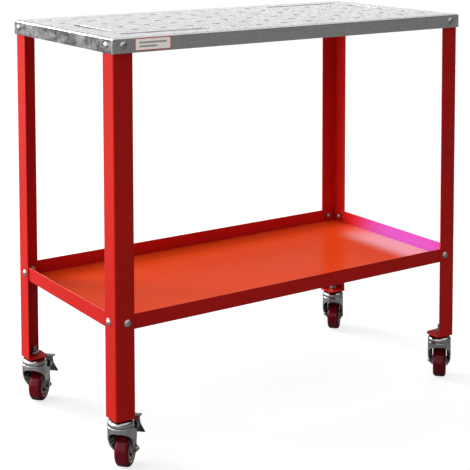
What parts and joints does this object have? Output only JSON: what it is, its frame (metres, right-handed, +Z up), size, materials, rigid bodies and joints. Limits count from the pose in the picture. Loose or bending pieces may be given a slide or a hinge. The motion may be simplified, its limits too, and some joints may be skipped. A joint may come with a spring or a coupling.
{
  "type": "welding table",
  "caption": "Rolling welding table: folded steel top with fixture holes and clamp slots, angle legs, a shelf tray and swivel casters with brake pedals.",
  "frame": {"origin": "centre of the work surface, on its upper face; the floor is 0.880 m below", "axes": "+X along the table's length to the right, +Y to the back, +Z up out of the work surface; the casters trail toward +X +Y at rest"},
  "size_m": [0.9511, 0.5168, 0.88],
  "materials": {
    "galvanised": "hot-dip galvanised sheet, satin",
    "zinc": "bright zinc plate",
    "dark_zinc": "zinc-plated hardened steel",
    "red_paint": "gloss red powder coat",
    "tray_paint": "gloss red powder coat",
    "tread": "maroon polyurethane",
    "hub": "moulded polypropylene",
    "label": "blank printed foil"
  },
  "bodies": {
    "frame": {"table_top": "galvanised", "label_plate": "label", "top_bolts": "zinc", "top_nuts": "zinc", "leg_fl": "red_paint", "leg_fr": "red_paint", "leg_rl": "red_paint", "leg_rr": "red_paint", "foot_plates": "red_paint", "shelf_tray": "tray_paint", "shelf_bolts": "zinc", "shelf_nuts": "zinc", "caster_stems": "zinc", "stem_nuts": "zinc", "cap_fl": "zinc", "lower_race_fl": "dark_zinc", "cap_fr": "zinc", "lower_race_fr": "dark_zinc", "cap_rl": "zinc", "lower_race_rl": "dark_zinc", "cap_rr": "zinc", "lower_race_rr": "dark_zinc"},
    "fork_body_fl": {"fork_fl": "zinc", "balls_fl": "dark_zinc", "sleeve_fl": "zinc", "axle_fl": "zinc", "axle_nut_fl": "zinc", "pivot_pin_fl": "zinc"},
    "wheel_fl": {"core_fl": "hub", "tread_fl": "tread"},
    "brake_fl": {"pedal_fl": "dark_zinc", "shoe_fl": "dark_zinc"},
    "fork_body_fr": {"fork_fr": "zinc", "balls_fr": "dark_zinc", "sleeve_fr": "zinc", "axle_fr": "zinc", "axle_nut_fr": "zinc"},
    "wheel_fr": {"core_fr": "hub", "tread_fr": "tread"},
    "fork_body_rl": {"fork_rl": "zinc", "balls_rl": "dark_zinc", "sleeve_rl": "zinc", "axle_rl": "zinc", "axle_nut_rl": "zinc", "pivot_pin_rl": "zinc"},
    "wheel_rl": {"core_rl": "hub", "tread_rl": "tread"},
    "brake_rl": {"pedal_rl": "dark_zinc", "shoe_rl": "dark_zinc"},
    "fork_body_rr": {"fork_rr": "zinc", "balls_rr": "dark_zinc", "sleeve_rr": "zinc", "axle_rr": "zinc", "axle_nut_rr": "zinc"},
    "wheel_rr": {"core_rr": "hub", "tread_rr": "tread"}
  },
  "joints": [
    {"name": "swivel_fl", "type": "hinge", "parent": "frame", "child": "fork_body_fl", "pos_m": [-0.432, -0.203, -0.781], "axis": [0, 0, 1], "continuous": true},
    {"name": "wheel_spin_fl", "type": "hinge", "parent": "fork_body_fl", "child": "wheel_fl", "pos_m": [-0.40902, -0.18002, -0.8425], "axis": [-0.7071, 0.7071, 0], "continuous": true},
    {"name": "brake_fl", "type": "hinge", "parent": "fork_body_fl", "child": "brake_fl", "pos_m": [-0.40018, -0.17118, -0.799], "axis": [-0.7071, 0.7071, 0], "range_deg": [0, 12]},
    {"name": "swivel_fr", "type": "hinge", "parent": "frame", "child": "fork_body_fr", "pos_m": [0.432, -0.203, -0.781], "axis": [0, 0, 1], "continuous": true},
    {"name": "wheel_spin_fr", "type": "hinge", "parent": "fork_body_fr", "child": "wheel_fr", "pos_m": [0.45498, -0.18002, -0.8425], "axis": [-0.7071, 0.7071, 0], "continuous": true},
    {"name": "swivel_rl", "type": "hinge", "parent": "frame", "child": "fork_body_rl", "pos_m": [-0.432, 0.203, -0.781], "axis": [0, 0, 1], "continuous": true},
    {"name": "wheel_spin_rl", "type": "hinge", "parent": "fork_body_rl", "child": "wheel_rl", "pos_m": [-0.40902, 0.22598, -0.8425], "axis": [-0.7071, 0.7071, 0], "continuous": true},
    {"name": "brake_rl", "type": "hinge", "parent": "fork_body_rl", "child": "brake_rl", "pos_m": [-0.40018, 0.23482, -0.799], "axis": [-0.7071, 0.7071, 0], "range_deg": [0, 12]},
    {"name": "swivel_rr", "type": "hinge", "parent": "frame", "child": "fork_body_rr", "pos_m": [0.432, 0.203, -0.781], "axis": [0, 0, 1], "continuous": true},
    {"name": "wheel_spin_rr", "type": "hinge", "parent": "fork_body_rr", "child": "wheel_rr", "pos_m": [0.45498, 0.22598, -0.8425], "axis": [-0.7071, 0.7071, 0], "continuous": true}
  ]
}
